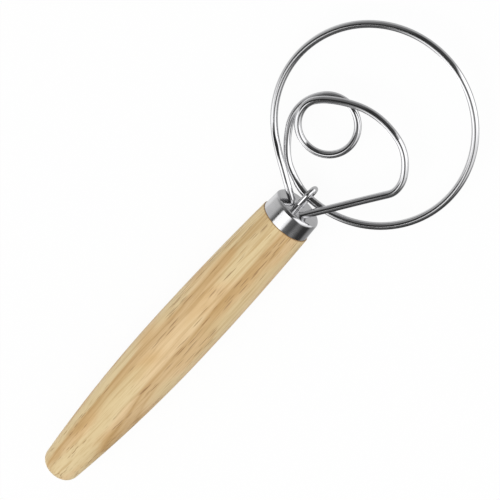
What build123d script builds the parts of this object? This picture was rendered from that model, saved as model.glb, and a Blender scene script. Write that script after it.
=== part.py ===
from build123d import *
import os
from math import cos, radians, sin, sqrt

os.makedirs("parts", exist_ok=True)

# A dough whisk: a turned wooden handle, a steel ferrule, one long bent wire that forms the big ring,
# the inner loop and the eye, and a small wire staple that holds the ring down to the ferrule.
# X runs along the handle toward the ring, Z is up, and the whisk lies with its handle on Z = 0.

# Driving dimensions in millimetres

# Wires
wire_diameter = 3.5
staple_diameter = 2.8
strand_gap = 0.45  # air where two strands of the long wire pass
staple_gap = 0.3  # air between the staple's bow and the strand it holds
leg_length = 27.0  # how far the long wire's legs reach into the handle
staple_leg_length = 22.0

# Head
ring_radius = 46.2  # centre line of the big ring
ring_rise = 6.5  # lowest point of the ring above the ferrule's end
eye_radius = 13.5  # centre line of the small eye
leg_bend_radius = 4.0
leg_bend_depth = 3.4  # where the arm's leg has turned along the handle, behind the ferrule's end
ring_bend_depth = 2.2  # the same for the ring's leg
ring_leg_angle = 56.7  # slope of the ring's leg against the handle, in degrees
arm_angle = 32.0  # slope of the straight arm against the handle, in degrees
staple_twist = 7.0  # turn of the staple about the handle's axis, in degrees
staple_reach = 7.8  # centre of the staple's bow above the ferrule's end
staple_side = 0.25  # middle of the staple beside the handle's axis

# Handle
handle_diameter = 29.3  # at the bulge
bulge_to_butt = 100.4
bulge_to_ferrule = 78.4
butt_diameter = 17.8  # where the sides would meet the butt, before it is rounded
butt_round = 6.0
shoulder_diameter = 25.6
shoulder_round = 0.5
spigot_gap = 0.15  # radial air between the spigot and the ferrule
bore_margin = 1.0  # resin outside the outermost leg
bore_floor = 4.0  # bore left below the longest leg
plug_drop = 2.0  # top of the resin below the ends of the leg bends
resin_gap = 0.05  # radial air round the resin and round each leg in it

# Ferrule
ferrule_length = 9.6
ferrule_base_diameter = 24.75
ferrule_end_diameter = 23.75
ferrule_wall = 0.8
ferrule_round = 1.6
ferrule_crown = 0.35  # rise of the end's middle above its rim
leg_hole_gap = 0.15  # radial air round each leg in the ferrule's end

cut_overrun = 1.0  # how far a cutting shape runs past what it cuts


# Places that follow from them
axis_height = handle_diameter / 2
head_reach = ring_rise + 2 * ring_radius + wire_diameter / 2
handle_length = bulge_to_butt + bulge_to_ferrule
overall_length = handle_length + ferrule_length + head_reach
face_x = overall_length / 2 - head_reach  # the ferrule's end
base_x = face_x - ferrule_length  # the ferrule's open rim, on the handle's shoulder
bulge_x = base_x - bulge_to_ferrule
butt_x = bulge_x - bulge_to_butt
rim_x = face_x - ferrule_crown  # where the ferrule's end meets its rounded edge
spigot_x = rim_x - ferrule_wall - spigot_gap

# Height steps between strands that pass over each other
pitch = wire_diameter + strand_gap
staple_bow_radius = wire_diameter / 2 + staple_gap + staple_diameter / 2
ring_level = 0  # the big ring lies flat, also where the staple holds it
low_level = -pitch / 2
high_level = pitch / 2

# The legs in the handle, as places across it: sideways and up from the axis
leg_step = (wire_diameter + staple_diameter) / 2
ring_leg_share = (0.968, 0.317)
arm_leg_share = (-0.81, 1.46)
ring_leg_side, ring_leg_level = (share * leg_step for share in ring_leg_share)
arm_leg_side, arm_leg_level = (share * leg_step for share in arm_leg_share)
bow_side = staple_bow_radius * sin(radians(staple_twist))
bow_rise = staple_bow_radius * cos(radians(staple_twist))
staple_legs = [
    (staple_side + bow_side, ring_level + bow_rise),
    (staple_side - bow_side, ring_level - bow_rise),
]
leg_seats = [
    (ring_leg_side, ring_leg_level, wire_diameter, leg_length),
    (arm_leg_side, arm_leg_level, wire_diameter, leg_length),
]
leg_seats += [(side, level, staple_diameter, staple_leg_length) for side, level in staple_legs]
leg_reaches = [sqrt(side**2 + level**2) + diameter / 2 for side, level, diameter, _ in leg_seats]
bore_radius = max(leg_reaches) + bore_margin
plug_x = face_x - leg_bend_depth - plug_drop


# The wire's stations. Each is a point of its centre line: how far past the ferrule's end, sideways,
# its heading in the plane of the ring in degrees from the handle's axis, and its level.
ring_center = (ring_rise + ring_radius, 0)
eye_center_share = (-0.316, 0.33)  # of the ring's radius, from the ring's centre
eye_center = tuple(ring_center[i] + eye_center_share[i] * ring_radius for i in range(2))
stations = []


def along(start, heading, length):
    """A place that far from the start along a heading."""
    return start[0] + length * cos(radians(heading)), start[1] + length * sin(radians(heading))


def add_station(place, heading, level):
    stations.append((place[0], place[1], heading, level))


def add_round(center, radius, angle, level):
    """A station on a circle that the wire goes round clockwise."""
    add_station(along(center, angle, radius), angle - 90, level)


# The ring's leg: straight in the handle, one bend at the ferrule's end, straight out
leg_end = -leg_bend_depth - leg_length
add_station((leg_end, ring_leg_side), 0, ring_leg_level)
add_station((-ring_bend_depth, ring_leg_side), 0, ring_leg_level)
bend_out = (
    -ring_bend_depth + leg_bend_radius * sin(radians(ring_leg_angle)),
    ring_leg_side + leg_bend_radius * (1 - cos(radians(ring_leg_angle))),
)
bend_out_level_share = 0.603  # of the leg step
add_station(bend_out, ring_leg_angle, bend_out_level_share * leg_step)
leg_straight_share = 0.3436  # of the ring's radius
leg_top_level_share = 0.76  # of the leg step, above the inner loop's strand beside it
leg_top = along(bend_out, ring_leg_angle, leg_straight_share * ring_radius)
add_station(leg_top, ring_leg_angle, leg_top_level_share * leg_step)

# The big ring, clockwise from the leg round to the staple
for angle in (132, 105, 45, 0, -45, -90, -125, -165, -179.6):
    add_round(ring_center, ring_radius, angle, ring_level)

# The left of the inner loop, up to the eye. Places are shares of the ring's radius from its centre,
# and the levels are shares of the low level.
loop_left_shares = [(-0.941, 0.26, 67, 0.33), (-0.871, 0.39, 52, 0.5), (-0.779, 0.485, 41, 0.66)]
for far_share, side_share, heading, share in loop_left_shares:
    place = (ring_center[0] + far_share * ring_radius, ring_center[1] + side_share * ring_radius)
    add_station(place, heading, share * low_level)
beside_eye_shares = (-0.29, 1.13)  # of the eye's radius, from the eye's centre
beside_eye = tuple(eye_center[i] + beside_eye_shares[i] * eye_radius for i in range(2))
add_station(beside_eye, 0, low_level)

# The eye, entered low over its top and left high on its left side
eye_level_shares = {50: -1, 0: -1, -60: -0.73, -120: -0.25, -180: 0.3, -230: 0.76, -268: 1}
for angle, share in eye_level_shares.items():
    add_round(eye_center, eye_radius, angle, share * high_level)

# Over the eye's top and down the right of the inner loop
over_eye_shares = (0.71, 0.578)  # of the eye's radius, from the eye's centre
over_eye = tuple(eye_center[i] + over_eye_shares[i] * eye_radius for i in range(2))
add_station(over_eye, -50, high_level)
loop_right_shares = [(0.116, -0.043, -90), (-0.024, -0.45, -135), (-0.29, -0.582, -180)]
for far_share, side_share, heading in loop_right_shares:
    place = (ring_center[0] + far_share * ring_radius, ring_center[1] + side_share * ring_radius)
    add_station(place, heading, high_level)

# The straight arm back to the handle, over the ring's strand
arm_out = (
    -leg_bend_depth + leg_bend_radius * sin(radians(arm_angle)),
    arm_leg_side - leg_bend_radius * (1 - cos(radians(arm_angle))),
)
arm_straight_share = 0.9145  # of the ring's radius
arm_crossing_share = 0.227
arm_top = along(arm_out, -arm_angle, arm_straight_share * ring_radius)
arm_crossing = along(arm_out, -arm_angle, arm_crossing_share * ring_radius)
arm_fall = (arm_leg_level - high_level) * arm_crossing_share / arm_straight_share
crossing_level = max(arm_leg_level - arm_fall, ring_level + pitch)
arm_heading = 180 - arm_angle
add_station(arm_top, arm_heading, high_level)
add_station(arm_crossing, arm_heading, crossing_level)
add_station(arm_out, arm_heading, arm_leg_level)
add_station((-leg_bend_depth, arm_leg_side), 180, arm_leg_level)
add_station((leg_end, arm_leg_side), 180, arm_leg_level)


straight_tolerance = 1e-6  # a stretch that turns by less than this is drawn as a line


def level_slope(index):
    """Climb per millimetre at a station, blended from the stretches before and after it."""
    if index in (0, len(stations) - 1):
        return 0
    before, here, after = stations[index - 1 : index + 2]
    run_in = sqrt((here[0] - before[0]) ** 2 + (here[1] - before[1]) ** 2)
    run_out = sqrt((after[0] - here[0]) ** 2 + (after[1] - here[1]) ** 2)
    slope_in = (here[3] - before[3]) / run_in
    slope_out = (after[3] - here[3]) / run_out
    if slope_in * slope_out <= 0:
        return 0
    return (slope_in * run_out + slope_out * run_in) / (run_in + run_out)


def station_point(index):
    far, side, heading, level = stations[index]
    return Vector(face_x + far, side, axis_height + level)


def station_direction(index):
    heading = radians(stations[index][2])
    return Vector(cos(heading), sin(heading), level_slope(index)).normalized()


def add_curve(first, last):
    """Two arcs that leave the first station and reach the last one along their directions."""
    start, end = station_point(first), station_point(last)
    go, arrive = station_direction(first), station_direction(last)
    span = end - start
    turn = 2 * (1 - go.dot(arrive))
    reach = 2 * span.dot(go + arrive)
    if (span.normalized() - go).length + (span.normalized() - arrive).length < straight_tolerance:
        Line(start, end)
        return
    if turn < straight_tolerance:
        pull = span.dot(span) / reach
    else:
        pull = (sqrt(reach**2 + 4 * turn * span.dot(span)) - reach) / (2 * turn)
    knee_in, knee_out = start + go * pull, end - arrive * pull
    middle = (knee_in + knee_out) / 2
    TangentArc(start, middle, tangent=go)
    TangentArc(middle, end, tangent=knee_out - knee_in)


def wire_line(first, last):
    """The wire's centre line from one station to another."""
    with BuildLine() as line:
        for index in range(first, last):
            add_curve(index, index + 1)
    return line.wires()[0]


def tube(path, radius, mode=Mode.ADD):
    """A round bar along a path, in the part that is being built."""
    with BuildSketch(Plane(origin=path @ 0, z_dir=path % 0)) as section:
        Circle(radius)
    sweep(section.sketch, path=path, mode=mode)


last_station = len(stations) - 1
whisk_path = wire_line(0, last_station)
ring_leg_entry = wire_line(1, 3)
arm_leg_entry = wire_line(last_station - 3, last_station - 1)


# Handle: turned from its butt to the shoulder behind the ferrule, with a spigot and a blind bore
spigot_radius_base = ferrule_base_diameter / 2 - ferrule_wall - spigot_gap
spigot_radius_end = ferrule_end_diameter / 2 - ferrule_wall - spigot_gap
spigot_round = ferrule_round - ferrule_wall
bore_x = face_x - leg_bend_depth - leg_length - bore_floor
handle_plane = Plane(origin=(0, 0, axis_height), x_dir=(1, 0, 0), z_dir=(0, -1, 0))
handle_axis = Axis((0, 0, axis_height), (1, 0, 0))

with BuildPart() as handle:
    with BuildSketch(handle_plane):
        with BuildLine():
            Line((butt_x, 0), (butt_x, butt_diameter / 2))
            TangentArc(
                (bulge_x, handle_diameter / 2),
                (butt_x, butt_diameter / 2),
                tangent=(-1, 0),
            )
            TangentArc(
                (bulge_x, handle_diameter / 2),
                (base_x, shoulder_diameter / 2),
                tangent=(1, 0),
            )
            Polyline(
                (base_x, shoulder_diameter / 2),
                (base_x, spigot_radius_base),
                (spigot_x, spigot_radius_end),
                (spigot_x, 0),
            )
            Line((butt_x, 0), (spigot_x, 0))
        make_face()
    revolve(axis=handle_axis)
    butt_edge = handle.edges().filter_by(GeomType.CIRCLE).sort_by(Axis.X)[0]
    fillet(butt_edge, butt_round)
    shoulder_edges = handle.edges().filter_by(GeomType.CIRCLE).group_by(Axis.X)[-2]
    fillet(shoulder_edges.sort_by(SortBy.RADIUS)[-1], shoulder_round)
    spigot_edge = handle.edges().filter_by(GeomType.CIRCLE).sort_by(Axis.X)[-1]
    fillet(spigot_edge, spigot_round)
    with BuildSketch(Plane(origin=(bore_x, 0, axis_height), z_dir=(1, 0, 0))):
        Circle(bore_radius)
    extrude(amount=spigot_x - bore_x + cut_overrun, mode=Mode.SUBTRACT)

handle.part.label = "handle"
export_step(handle.part, "parts/handle.step")


# Ferrule: a drawn cup with a slightly crowned end and a hole for each leg
base_inner_radius = ferrule_base_diameter / 2 - ferrule_wall
end_inner_radius = ferrule_end_diameter / 2 - ferrule_wall

with BuildPart() as ferrule:
    with BuildSketch(handle_plane) as ferrule_outline:
        with BuildLine():
            Polyline(
                (face_x - ferrule_wall, 0),
                (rim_x - ferrule_wall, end_inner_radius),
                (base_x, base_inner_radius),
                (base_x, ferrule_base_diameter / 2),
                (rim_x, ferrule_end_diameter / 2),
            )
            TangentArc((face_x, 0), (rim_x, ferrule_end_diameter / 2), tangent=(0, 1))
            Line((face_x - ferrule_wall, 0), (face_x, 0))
        make_face()
        outer_corner = (rim_x, ferrule_end_diameter / 2)
        inner_corner = (rim_x - ferrule_wall, end_inner_radius)
        fillet(ferrule_outline.vertices().sort_by_distance(outer_corner)[0], ferrule_round)
        fillet(ferrule_outline.vertices().sort_by_distance(inner_corner)[0], ferrule_round - ferrule_wall)
    revolve(axis=handle_axis)
    tube(ring_leg_entry, wire_diameter / 2 + leg_hole_gap, Mode.SUBTRACT)
    tube(arm_leg_entry, wire_diameter / 2 + leg_hole_gap, Mode.SUBTRACT)
    for side, level in staple_legs:
        with BuildSketch(Plane(origin=(spigot_x, side, axis_height + level), z_dir=(1, 0, 0))):
            Circle(staple_diameter / 2 + leg_hole_gap)
        extrude(amount=face_x - spigot_x + cut_overrun, mode=Mode.SUBTRACT)

ferrule.part.label = "ferrule"
export_step(ferrule.part, "parts/ferrule.step")


# Whisk wire: one unbroken bar along the whole route
with BuildPart() as whisk_wire:
    tube(whisk_path, wire_diameter / 2)

whisk_wire.part.label = "whisk_wire"
export_step(whisk_wire.part, "parts/whisk_wire.step")


# Staple: two legs in the handle and a round bow over the ring's strand
bow_x = face_x + staple_reach
staple_end_x = face_x - leg_bend_depth - staple_leg_length
front_leg, back_leg = staple_legs
with BuildLine() as staple_line:
    front_start = Vector(staple_end_x, front_leg[0], axis_height + front_leg[1])
    front_top = Vector(bow_x, front_leg[0], axis_height + front_leg[1])
    back_top = Vector(bow_x, back_leg[0], axis_height + back_leg[1])
    back_end = Vector(staple_end_x, back_leg[0], axis_height + back_leg[1])
    bow_top = Vector(bow_x + staple_bow_radius, staple_side, axis_height + ring_level)
    Line(front_start, front_top)
    ThreePointArc(front_top, bow_top, back_top)
    Line(back_top, back_end)

with BuildPart() as staple:
    tube(staple_line.wires()[0], staple_diameter / 2)

staple.part.label = "staple"
export_step(staple.part, "parts/staple.step")


# Resin plug: fills the bore round the four legs, below the bends
with BuildPart() as resin_plug:
    with BuildSketch(Plane(origin=(bore_x, 0, axis_height), z_dir=(1, 0, 0))):
        Circle(bore_radius - resin_gap)
    extrude(amount=plug_x - bore_x)
    for side, level, diameter, length in leg_seats:
        seat_x = face_x - leg_bend_depth - length
        with BuildSketch(Plane(origin=(seat_x, side, axis_height + level), z_dir=(1, 0, 0))):
            Circle(diameter / 2 + resin_gap)
        extrude(amount=plug_x - seat_x + cut_overrun, mode=Mode.SUBTRACT)

resin_plug.part.label = "resin_plug"
export_step(resin_plug.part, "parts/resin_plug.step")


# How close the long wire comes to itself, measured on points of its centre line
sample_step = 1.0
own_reach = 4 * wire_diameter  # nearer than this along the wire is the same stretch
sample_count = int(whisk_path.length / sample_step)
samples = [whisk_path @ (index / sample_count) for index in range(sample_count + 1)]
skip = int(own_reach / sample_step)
least = min(
    (samples[i] - samples[j]).length
    for i in range(len(samples))
    for j in range(i + skip, len(samples))
)
print(f"wire length {whisk_path.length:.1f} mm, least gap to itself {least - wire_diameter:.2f} mm")
print(f"overall length {overall_length:.1f} mm")
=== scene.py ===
# %% [markdown]
# # A dough whisk in wood and polished steel
#
# The whisk is a rigid hand tool: a turned handle, a steel ferrule, one long bent wire, a small staple, and
# the resin that holds the wires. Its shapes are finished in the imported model, so this script doesn't
# model them again. What it adds is what a photograph of it lives on: the wood's grain, the polish of the
# steel, and a studio for the steel to mirror. Each step starts with a note on the real thing and on the
# way that was chosen. All lengths are in metres.

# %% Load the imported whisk
import math

import bpy
from mathutils import Matrix, Vector


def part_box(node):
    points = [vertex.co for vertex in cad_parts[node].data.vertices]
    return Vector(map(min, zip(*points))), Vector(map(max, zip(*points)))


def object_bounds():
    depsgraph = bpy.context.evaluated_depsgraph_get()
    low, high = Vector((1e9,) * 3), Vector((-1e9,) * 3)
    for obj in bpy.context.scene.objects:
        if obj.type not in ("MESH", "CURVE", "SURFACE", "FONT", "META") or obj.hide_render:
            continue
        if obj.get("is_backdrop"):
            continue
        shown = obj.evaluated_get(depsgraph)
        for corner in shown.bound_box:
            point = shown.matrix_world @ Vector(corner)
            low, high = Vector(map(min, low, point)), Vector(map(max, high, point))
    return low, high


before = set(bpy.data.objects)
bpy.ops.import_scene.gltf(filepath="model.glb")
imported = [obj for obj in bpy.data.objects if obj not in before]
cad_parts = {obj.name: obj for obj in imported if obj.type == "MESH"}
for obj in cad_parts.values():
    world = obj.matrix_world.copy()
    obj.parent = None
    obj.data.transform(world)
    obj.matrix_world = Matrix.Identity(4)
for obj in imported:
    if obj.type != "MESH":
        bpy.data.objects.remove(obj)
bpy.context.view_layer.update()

for node_name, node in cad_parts.items():
    print(f"{node_name}: {len(node.data.polygons)} faces")

# %% [markdown]
# ## The camera
#
# The photograph was taken from over a metre away with a long lens, looking down on the ring at about
# 24 degrees from square. The place and turn below were solved from the ring's ellipse and the handle's
# axis. A camera object takes its turn from three directions: its right, its up, and the way back from
# what it looks at.

# %% Camera
camera_place = (0.462104, -0.023870, 1.024221)
camera_right = (0.61855, -0.72803, -0.29558)
camera_up = (0.67181, 0.68511, -0.28161)
camera_back = (0.40752, -0.02438, 0.91287)
sensor_width = 36.0
focal_length_in_frames = 4.814  # focal length over the width of the picture

bpy.ops.object.camera_add()
camera = bpy.context.object
camera.name = "camera"
turn = Matrix((camera_right, camera_up, camera_back)).transposed()
camera.matrix_world = Matrix.Translation(camera_place) @ turn.to_4x4()
camera.data.sensor_width = sensor_width
camera.data.lens = focal_length_in_frames * sensor_width
camera.data.clip_start = 0.05
camera.data.clip_end = 20.0
bpy.context.scene.camera = camera
print(f"camera with a {camera.data.lens:.0f} mm lens")

# %% [markdown]
# ## Colour as it is written
#
# The Standard view transform shows a colour as it is written, so a white card stays white and the wood's
# tans can be compared with the photograph directly.

# %% View transform
bpy.context.scene.view_settings.view_transform = "Standard"
print("colours show as they are written")

# %% [markdown]
# ## Small helpers for node trees
#
# The room and every material here are trees of nodes. Added by hand, each node takes four or five lines,
# so a few helpers keep the trees short to read. The first two add a node with its sockets set, and do a
# sum. The others move a number into another range, name a grey, and mix two colours.

# %% Helpers: nodes and sums
def add_node(tree, kind, settings=None, **sockets):
    """A node with its settings and sockets filled in, each with a value or another node's output.

    A socket goes by its name, with _ for a space, or by the letter i and its number.
    """
    new = tree.nodes.new(kind)
    for name, value in (settings or {}).items():
        setattr(new, name, value)
    for name, value in sockets.items():
        key = int(name[1:]) if name[0] == "i" and name[1:].isdigit() else name.replace("_", " ")
        if isinstance(value, bpy.types.NodeSocket):
            tree.links.new(value, new.inputs[key])
        else:
            new.inputs[key].default_value = value
    return new


def do_math(tree, operation, first, second=0.0, third=0.0):
    """One sum on up to three numbers or outputs."""
    new = add_node(tree, "ShaderNodeMath", {"operation": operation}, i0=first, i1=second, i2=third)
    return new.outputs[0]


print("helpers for nodes and sums")

# %% Helpers: ranges and colours
def map_range(tree, value, low, high, to_low=0.0, to_high=1.0):
    """A number moved from one range to another, with a soft start and end."""
    new = add_node(
        tree, "ShaderNodeMapRange", {"interpolation_type": "SMOOTHSTEP", "clamp": True},
        Value=value, From_Min=low, From_Max=high, To_Min=to_low, To_Max=to_high,
    )
    return new.outputs[0]


def grey(shade):
    """A grey as a colour. A shade of 1 is white."""
    return (shade, shade, shade, 1)


def mix_colors(tree, share, first, second):
    """Two colours mixed: the first one at a share of 0, the second one at 1."""
    new = add_node(tree, "ShaderNodeMix", {"data_type": "RGBA"}, i0=share, i6=first, i7=second)
    return new.outputs[2]


print("helpers for ranges and colours")

# %% [markdown]
# ## The room that the steel mirrors
#
# Polished steel has hardly any colour of its own: it shows the room. In the photograph the wires carry
# white stripes and dark bands, and where these start and stop tells where the light stood. A large soft
# box stood to the right of the camera and a second one beyond the butt of the handle. More light came
# from high up on the side of the small eye, and the rest of the room was dark.
#
# Cards could stand there, but they would block the view from other sides. The world can paint the same
# room by compass direction, with one ramp of shades for the walls, one for the ceiling and one for the
# ceiling's middle. Only mirror rays see that room. Camera rays see plain white, and all other rays meet
# an even glow, which lights the wood.
#
# A painted room is as far away as the sky. Each bit of wire sees it alike, where a real soft box looks
# larger from nearby, so some stripes are a little wider or narrower than in the photograph.

# %% Room: shades by compass direction
BOX = 1.75  # a soft box: brighter than white, so that steel shows it as white

wall_shades = [  # degrees from the +X axis toward +Y, and how bright
    (-180, 0.9), (-174, 0.6), (-167, 0.08), (-150, 0.05), (-104, 0.05), (-95, 0.25), (-86, 0.95),
    (-63, 1.3), (-58, BOX), (-20, BOX), (-13, 0.08), (18, 0.05), (28, 0.16), (60, 0.3), (90, 0.58),
    (112, 0.8), (160, 0.78), (167, BOX), (176, BOX), (180, 0.9),
]
ceiling_shades = [
    (-180, 1.5), (-170, 1.35), (-158, 0.5), (-149, 0.13), (-125, 0.13), (-104, 0.2), (-95, 0.08),
    (-84, 0.12), (-74, 0.2), (-34, 0.2), (-22, 0.12), (-10, 0.05), (30, 0.03), (97, 0.04),
    (105, 0.2), (115, 1.3), (127, BOX), (160, BOX), (180, 1.5),
]
middle_shades = [
    (-180, 0.35), (-162, 0.4), (-148, 0.08), (-112, 0.1), (-96, 0.5), (-80, 1.65), (-26, 1.65),
    (-8, 0.4), (8, 0.06), (42, 0.06), (58, 0.3), (71, 1.3), (83, BOX), (143, BOX), (158, 0.6),
    (180, 0.35),
]
print(f"{len(wall_shades)} shades round the walls, {len(ceiling_shades)} round the ceiling")

# %% Room: ramps
FULL_TURN = 360.0


def shade_ramp(tree, value, stops):
    """Shades of grey by a number from 0 to 1. A stop is such a number and its shade."""
    ramp = add_node(tree, "ShaderNodeValToRGB", i0=value)
    elements = ramp.color_ramp.elements
    while len(elements) < len(stops):
        elements.new(0.5)
    for element, (place, shade) in zip(elements, stops):
        element.position = place
        element.color = grey(shade)
    return ramp.outputs[0]


def compass_ramp(tree, compass, shades):
    """Shades of grey by compass direction. A ramp ends at 1, so the shades are scaled up after it."""
    stops = [((angle + FULL_TURN / 2) / FULL_TURN, shade / BOX) for angle, shade in shades]
    return do_math(tree, "MULTIPLY", shade_ramp(tree, compass, stops), BOX)


print("helpers for ramps")

# %% Room: walls and ceiling
room_lean = 24.0  # degrees that the middle of the ceiling lies from straight up, toward the butt

world = bpy.data.worlds.new("studio")
bpy.context.scene.world = world
world.use_nodes = True
room = world.node_tree
room.nodes.clear()

direction = add_node(room, "ShaderNodeTexCoord").outputs["Generated"]
leaned = add_node(
    room, "ShaderNodeMapping", Vector=direction, Rotation=(0, math.radians(room_lean), 0)
)
toward_ring, toward_eye, upward = add_node(
    room, "ShaderNodeSeparateXYZ", Vector=leaned.outputs[0]
).outputs
angle_round = do_math(room, "ARCTAN2", toward_eye, toward_ring)
compass = do_math(room, "MULTIPLY_ADD", angle_round, 1 / math.tau, 0.5)
walls = compass_ramp(room, compass, wall_shades)
ceiling = compass_ramp(room, compass, ceiling_shades)
middle = compass_ramp(room, compass, middle_shades)
print(f"the room leans {room_lean:.0f} degrees toward the butt")

# %% [markdown]
# The ceiling and the walls meet softly. The whisk lay on a pale, slightly glossy table, which shows the
# walls again, paler, near the horizon, and is plain grey further down. The wires' outlines and the
# ferrule's end mirror it, so they are light grey, where a plain white sheet would lose them.
#
# Where one shade gives way to the next is written as the upward part of a direction, which is 1 at the
# middle of the ceiling, 0 at the horizon and -1 straight down. Each edge has its start and its end.

# %% Room: ceiling, walls and table together
middle_edge = (math.cos(math.radians(18)), math.cos(math.radians(8)))
ceiling_edge = (math.cos(math.radians(62)), math.cos(math.radians(38)))
table_edge = (-0.12, -0.4)
deep_edge = (-0.5, -0.8)
table_base = 0.30  # the table's own shade, under the walls that it mirrors
table_gloss = 0.95  # how much of the walls it mirrors
table_grey = 0.62  # its shade further down, where it mirrors none of them

is_middle = map_range(room, upward, *middle_edge)
is_ceiling = map_range(room, upward, *ceiling_edge)
is_table = map_range(room, upward, *table_edge)
is_deep = map_range(room, upward, *deep_edge)
mirrored = do_math(room, "MULTIPLY_ADD", walls, table_gloss, table_base)
table = mix_colors(room, is_deep, mirrored, grey(table_grey))
sides = mix_colors(room, is_table, walls, table)
overhead = mix_colors(room, is_middle, ceiling, middle)
room_shade = mix_colors(room, is_ceiling, sides, overhead)
print(f"the table is {table_grey} bright straight down")

# %% Room: which rays see it
even_glow = 0.72


def looking_rays(tree):
    """Whether a ray is the camera's, and whether it is a mirror ray. Each is 1 for yes and 0 for no."""
    rays = add_node(tree, "ShaderNodeLightPath").outputs
    mirror = do_math(tree, "MAXIMUM", rays["Is Glossy Ray"], rays["Is Transmission Ray"])
    return rays["Is Camera Ray"], mirror


is_camera, is_mirror = looking_rays(room)
lit = mix_colors(room, is_mirror, grey(even_glow), room_shade)
seen = mix_colors(room, is_camera, lit, grey(1))
background = add_node(room, "ShaderNodeBackground", Color=seen, Strength=1.0)
add_node(room, "ShaderNodeOutputWorld", Surface=background.outputs[0])
print(f"{world.name} has {len(room.nodes)} nodes")

# %% [markdown]
# ## The lamp overhead
#
# The even glow alone would leave the handle flat. One large lamp overhead gives it softly shaded sides,
# and a soft shadow where it touches the floor. It is hidden from mirror rays, which see the painted room.

# %% Lamp
lamp_place = Vector((-0.25, -0.05, 1.25))
lamp_size = 0.9
lamp_watts = 5.8

bpy.ops.object.light_add(type="AREA", location=lamp_place)
lamp = bpy.context.object
lamp.name = "soft_lamp"
lamp.data.shape = "SQUARE"
lamp.data.size = lamp_size
lamp.data.energy = lamp_watts
lamp.rotation_euler = (-lamp_place).to_track_quat("-Z", "Y").to_euler()
lamp.visible_camera = False
lamp.visible_glossy = False
print(f"lamp of {lamp_watts} W, {lamp_place.length:.2f} m from the whisk")

# %% [markdown]
# ## A narrow soft box near the ferrule
#
# The ferrule carries one clear white patch between dark bands, the mirror image of a narrow soft box
# close above it. A near light can't be painted into a far room, so this one is an area lamp. Matt
# surfaces and the camera don't see it, and light linking gives it to the ferrule and the staple alone,
# because further off its mirror image would fall on parts of the ring that are dark in the photograph.

# %% Narrow soft box
narrow_way = (-0.297, 0.292, 0.909)  # from the ferrule toward the box
narrow_distance = 0.30
narrow_tilt = math.radians(-18)
narrow_width = 0.08
narrow_length = 0.22
narrow_brightness = 1.3
watts_for_white = 4.0  # on each square metre of a lamp, for a brightness of 1

low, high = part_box("ferrule")
ferrule_top = Vector(((low.x + high.x) / 2, (low.y + high.y) / 2, high.z))
narrow_place = ferrule_top + narrow_distance * Vector(narrow_way)
bpy.ops.object.light_add(type="AREA", location=narrow_place, rotation=(narrow_tilt, 0, 0))
narrow = bpy.context.object
narrow.name = "narrow_box"
narrow.data.shape = "RECTANGLE"
narrow.data.size = narrow_width
narrow.data.size_y = narrow_length
narrow.data.energy = watts_for_white * narrow_brightness * narrow_width * narrow_length
narrow.visible_camera = False
narrow.visible_diffuse = False
print(f"narrow soft box of {narrow.data.energy:.3f} W, {narrow_distance * 1000:.0f} mm from the ferrule")

# %% Narrow soft box: what it lights
near_ferrule = bpy.data.collections.new("lit_by_narrow_box")
for node_name in ("ferrule", "staple"):
    near_ferrule.objects.link(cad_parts[node_name])
narrow.light_linking.receiver_collection = near_ferrule

# %% [markdown]
# ## The floor
#
# The floor is a plain white sheet. The photograph's background is pure white with no shadow to see, so
# most of what the camera gets from the sheet is plain white, and the rest is its real shading, which
# keeps a faint shadow under the whisk.
#
# Steel on such a sheet would mirror its white, and the sheet's material allows for that. But the wires in
# the photograph have grey outlines, which white on white would lose. So the sheet is hidden from the
# steel, which sees the painted table below it instead.

# %% Helper: the start of a material
def start_material(name):
    """A new material, with its tree and its Principled shader."""
    material = bpy.data.materials.new(name)
    material.use_nodes = True
    shader = material.node_tree.nodes["Principled BSDF"]
    return material, material.node_tree, shader


print("helper for materials")

# %% Floor: white sheet
sheet_shade = 0.9
sheet_roughness = 0.9
plain_white_share = 0.94

sheet, tree, shader = start_material("white_sheet")
shader.inputs["Base Color"].default_value = grey(sheet_shade)
shader.inputs["Roughness"].default_value = sheet_roughness
shader.inputs["Specular IOR Level"].default_value = 0.0
is_camera, is_mirror = looking_rays(tree)
is_seen = do_math(tree, "MAXIMUM", is_camera, is_mirror)
white_share = do_math(tree, "MULTIPLY", is_seen, plain_white_share)
plain_white = add_node(tree, "ShaderNodeEmission", Color=grey(1), Strength=1.0)
sheet_mix = add_node(
    tree, "ShaderNodeMixShader", i0=white_share, i1=shader.outputs[0], i2=plain_white.outputs[0]
)
tree.links.new(sheet_mix.outputs[0], tree.nodes["Material Output"].inputs["Surface"])
print(f"{sheet.name} shows the camera {plain_white_share:.0%} plain white")

# %% Floor: plane
floor_size = 6.0
floor_drop = 0.0001  # keeps the sheet just clear of the handle's underside

bpy.ops.object.select_all(action="DESELECT")
bpy.ops.mesh.primitive_plane_add(size=floor_size, location=(0, 0, -floor_drop))
floor = bpy.context.object
floor.name = "floor"
floor.visible_glossy = False
floor.data.materials.append(sheet)
floor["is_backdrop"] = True
print(f"white floor, {floor_size:.0f} m wide")

# %% [markdown]
# ## Wood
#
# The handle is turned from pale, fine hardwood. Its growth layers are cut at a slant, so they show as a
# few long, wavy bands that grow darker toward one edge, with two fine lines in each. Between the bands
# the wood is the colour of straw. Long streaks and faint fibres run over all of it, and so do thin dark
# dashes where pores are cut open, most of them in the bands.
#
# A picture wrapped round the handle would stretch at the butt. Wood is a solid, so the material is one
# too: the layers are sheets through space, and the turned surface cuts them as a lathe does. The noises
# are long along the handle and narrow across it, as all that grows in wood is.

# %% Helpers: patterns in space
noise_spread = (0.3, 0.7)  # nearly all of a noise's numbers lie between these


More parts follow.
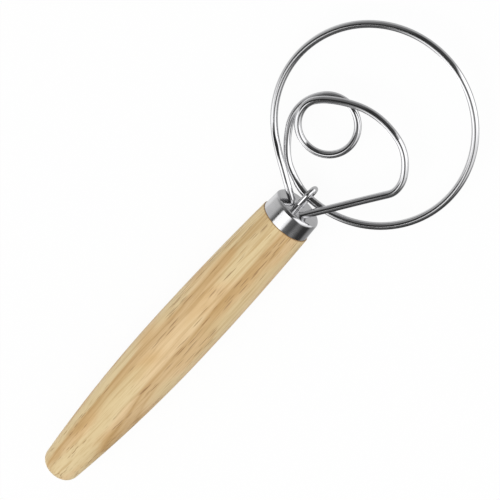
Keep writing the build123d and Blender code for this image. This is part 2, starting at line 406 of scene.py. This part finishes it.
def object_coordinates(tree, scale=(1, 1, 1), turn_degrees=(0, 0, 0), shift=(0, 0, 0)):
    """Places on the object in metres, scaled, turned and shifted. The same on every piece."""
    place = add_node(tree, "ShaderNodeTexCoord").outputs["Object"]
    turned = tuple(math.radians(angle) for angle in turn_degrees)
    mapping = add_node(
        tree, "ShaderNodeMapping", Vector=place, Location=shift, Rotation=turned, Scale=scale
    )
    return mapping.outputs[0]


def noise(tree, along, across, detail=2.0, roughness=0.5, shift=(0, 0, 0)):
    """A cloudy number from 0 to 1, with so many clouds to the metre along the whisk and across it."""
    place = object_coordinates(tree, (along, across, across), shift=shift)
    new = add_node(
        tree, "ShaderNodeTexNoise", Vector=place, Scale=1.0, Detail=detail, Roughness=roughness
    )
    return new.outputs[0]


print("helpers for patterns")

# %% Wood: growth layers
layer_turn = 28.0  # degrees that the layers are turned about the handle
layer_slant = -1.5  # degrees that they run out of line with the handle
layer_gap = 0.0122
layer_shift = 0.0028  # brings two dark bands to the upper side of the handle
wave_depth = 0.010
band_stops = [(0.0, 0.15), (0.12, 0.0), (0.45, 0.05), (0.70, 0.75), (0.90, 1.0), (1.0, 0.15)]
line_stops = [
    (0.0, 0.0), (0.66, 0.0), (0.70, 0.6), (0.73, 0.1), (0.84, 0.2), (0.89, 1.0), (0.92, 0.2), (1.0, 0.0),
]

wood, tree, shader = start_material("turned_wood")
layer_place = object_coordinates(
    tree, turn_degrees=(layer_turn, 0, layer_slant), shift=(0, layer_shift, 0)
)
through_layers = add_node(tree, "ShaderNodeSeparateXYZ", Vector=layer_place).outputs["Y"]
wave = do_math(tree, "SUBTRACT", noise(tree, along=9, across=30), 0.5)
wavy = do_math(tree, "MULTIPLY_ADD", wave, wave_depth, through_layers)
layer = do_math(tree, "FRACT", do_math(tree, "DIVIDE", wavy, layer_gap))
band_dark = shade_ramp(tree, layer, band_stops)
line_dark = shade_ramp(tree, layer, line_stops)
print(f"growth layers {layer_gap * 1000:.1f} mm apart")

# %% Wood: broad tone, streaks and fibres
broad = noise(tree, along=24, across=110)
straw = noise(tree, along=26, across=80, detail=1.0, shift=(3, 1, 2))
streaks = noise(tree, along=14, across=560)
fibres = noise(tree, along=45, across=1500, detail=3.0, roughness=0.6)
print("tone, streaks and fibres run along the handle")

# %% Wood: pores
pores_along = 72  # to the metre
pores_across = 1550
pore_edge = (0.38, 0.20)  # how far from its middle a pore starts and is full, in cells
crowd_edge = (0.50, 0.61)  # the numbers of the noise at which a cloud of pores starts and is full
crowd_in_bands = 0.10  # what a dark band adds to the noise

pore_place = object_coordinates(tree, (pores_along, pores_across, pores_across))
pore_cells = add_node(
    tree, "ShaderNodeTexVoronoi", {"feature": "F1"}, Vector=pore_place, Scale=1.0, Randomness=1.0
)
pore_near = map_range(tree, pore_cells.outputs["Distance"], *pore_edge)
pore_cloud = noise(tree, along=22, across=280)
pore_crowd = do_math(tree, "MULTIPLY_ADD", band_dark, crowd_in_bands, pore_cloud)
pores = do_math(tree, "MULTIPLY", pore_near, map_range(tree, pore_crowd, *crowd_edge))
print("pores gather in clouds and along the bands")

# %% [markdown]
# The parts of the pattern are laid over each other from the broadest to the finest, in the tans that the
# photograph shows. Last comes a thin line of painted shade where the wood meets the ferrule, standing in
# for the shade in the gap between them. The pores are also slight dents, and the oiled surface is satin,
# not glossy.

# %% Wood: tans and browns
pale_tan = (0.790, 0.590, 0.345, 1)
warm_tan = (0.690, 0.475, 0.237, 1)
straw_tan = (0.740, 0.600, 0.345, 1)
line_brown = (0.440, 0.255, 0.085, 1)
pore_brown = (0.250, 0.125, 0.050, 1)

tone_edge = (0.36, 0.64)  # the numbers of the noise at which each tone starts and is full
straw_edge = (0.34, 0.54)
straw_share = 0.8  # of the straw colour, where it is full
straw_in_bands = -0.2  # a dark band keeps the straw colour out

tan = mix_colors(tree, map_range(tree, broad, *tone_edge), warm_tan, pale_tan)
straw_between = do_math(tree, "MULTIPLY_ADD", band_dark, straw_in_bands, straw)
is_straw = map_range(tree, straw_between, *straw_edge, to_high=straw_share)
tan_straw = mix_colors(tree, is_straw, tan, straw_tan)
print("the wood's ground is tan and straw")

# %% Wood: bands, lines, streaks, fibres and pores over it
band_share = 0.34  # of the brown, where each is darkest
line_share = 0.55
streak_share = 0.42
fibre_share = 0.30
pore_share = 0.7
streak_edge = (0.5, 0.72)
fibre_edge = (0.45, 0.75)

is_band = do_math(tree, "MULTIPLY", band_dark, band_share)
is_line = do_math(tree, "MULTIPLY", line_dark, line_share)
is_streak = map_range(tree, streaks, *streak_edge, to_high=streak_share)
is_fibre = map_range(tree, fibres, *fibre_edge, to_high=fibre_share)
is_pore = do_math(tree, "MULTIPLY", pores, pore_share)
grained = tan_straw
for share in (is_band, is_line, is_streak, is_fibre):
    grained = mix_colors(tree, share, grained, line_brown)
pored = mix_colors(tree, is_pore, grained, pore_brown)
print("the grain is laid over it, from the bands down to the pores")

# %% Wood: painted shade in the gap at the ferrule
joint_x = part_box("ferrule")[0].x
joint_shade_width = 0.0005
joint_shade_share = 0.8

# Painted shade: over the last half millimetre before the ferrule the wood turns dark brown, as the gap
# between them lies in shade.
along = add_node(tree, "ShaderNodeSeparateXYZ", Vector=object_coordinates(tree)).outputs["X"]
painted_joint_shade = map_range(tree, along, joint_x - joint_shade_width, joint_x, to_high=joint_shade_share)
wood_color = mix_colors(tree, painted_joint_shade, pored, pore_brown)
tree.links.new(wood_color, shader.inputs["Base Color"])
print(f"dark line {joint_shade_width * 1000:.1f} mm wide along the joint")

# %% Helper: relief
relief_depth = 0.0001


def add_relief(tree, shader, relief, strength):
    """Dents and ridges in the surface, where the relief's number falls and rises."""
    bump = add_node(tree, "ShaderNodeBump", Height=relief, Strength=strength, Distance=relief_depth)
    tree.links.new(bump.outputs[0], shader.inputs["Normal"])


print(f"helper for relief, {relief_depth * 1000:.1f} mm deep for a number of 1")

# %% Wood: satin surface
satin_level = 0.22
satin_roughness = (0.42, 0.56)
fibre_height = 0.25  # where a pore is 1 deep
wood_relief = 0.35

shader.inputs["Specular IOR Level"].default_value = satin_level
wood_roughness = map_range(tree, fibres, *noise_spread, *satin_roughness)
tree.links.new(wood_roughness, shader.inputs["Roughness"])
ridges = do_math(tree, "MULTIPLY", fibres, fibre_height)
add_relief(tree, shader, do_math(tree, "SUBTRACT", ridges, pores), wood_relief)
print(f"{wood.name} has {len(tree.nodes)} nodes")

# %% [markdown]
# ## Polished steel
#
# Stainless steel mirrors about six tenths of the light, and more along its edges. The long wire and
# the staple are drawn and polished, with hardly a mark. The ferrule was polished while it turned, so
# it has very fine lines round it, and its polish is a little uneven from handling. The two finishes
# differ only in their numbers, so one helper makes both.

# %% Helper: polished steel
patch_edge = (0.35, 0.65)  # the numbers of the noise between which the shade changes
cool_tint = 0.01  # how much more blue steel mirrors than red and green


def polished_steel(name, shades, roughness, patches, marks, strength):
    """Steel with patches in its shade and roughness, each from a least to a most, and fine marks.

    The patches are a count to the metre, and so are the marks, along the whisk and across it.
    """
    steel, tree, shader = start_material(name)
    shader.inputs["Metallic"].default_value = 1.0
    handled = noise(tree, patches, patches, detail=3.0)
    dull, bright = [(shade, shade, shade + cool_tint, 1) for shade in shades]
    steel_color = mix_colors(tree, map_range(tree, handled, *patch_edge), dull, bright)
    tree.links.new(steel_color, shader.inputs["Base Color"])
    steel_roughness = map_range(tree, handled, *noise_spread, *roughness)
    tree.links.new(steel_roughness, shader.inputs["Roughness"])
    add_relief(tree, shader, noise(tree, *marks), strength)
    print(f"{steel.name} has {len(tree.nodes)} nodes")
    return steel


# %% Steel for the wires
wire_steel = polished_steel(
    "polished_wire", shades=(0.60, 0.66), roughness=(0.05, 0.10),
    patches=60, marks=(900, 900), strength=0.04,
)

# %% Steel for the ferrule
ferrule_steel = polished_steel(
    "polished_ferrule", shades=(0.56, 0.62), roughness=(0.10, 0.17),
    patches=110, marks=(9000, 60), strength=0.05,
)

# %% [markdown]
# ## Resin
#
# The cast resin that holds the wires is out of sight in the handle. It still gets a plain finish: amber
# with a slight cloudiness.

# %% Resin
deep_amber = (0.55, 0.42, 0.20, 1)
pale_amber = (0.68, 0.58, 0.36, 1)
resin_roughness = 0.25

resin, tree, shader = start_material("amber_resin")
cloud = noise(tree, along=180, across=180)
tree.links.new(mix_colors(tree, cloud, deep_amber, pale_amber), shader.inputs["Base Color"])
shader.inputs["Roughness"].default_value = resin_roughness
print(f"{resin.name} has {len(tree.nodes)} nodes")

# %% [markdown]
# ## The finishes go onto the pieces
#
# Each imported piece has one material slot. Its finish goes into that slot, so the piece keeps its shape,
# its place and its name.

# %% Materials on the pieces
finishes = {
    "handle": wood,
    "ferrule": ferrule_steel,
    "whisk_wire": wire_steel,
    "staple": wire_steel,
    "resin_plug": resin,
}
for node_name, material in finishes.items():
    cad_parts[node_name].material_slots[0].material = material
    print(f"{node_name} is finished in {material.name}")

# %% [markdown]
# ## Sizes
#
# A finish mustn't change a size. The size of the finished whisk's box is printed.

# %% Size of the finished whisk
look_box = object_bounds()
length, width, height = [(high - low) * 1000 for low, high in zip(*look_box)]
print(f"whisk is {length:.1f} mm long, {width:.1f} mm wide and {height:.1f} mm high")
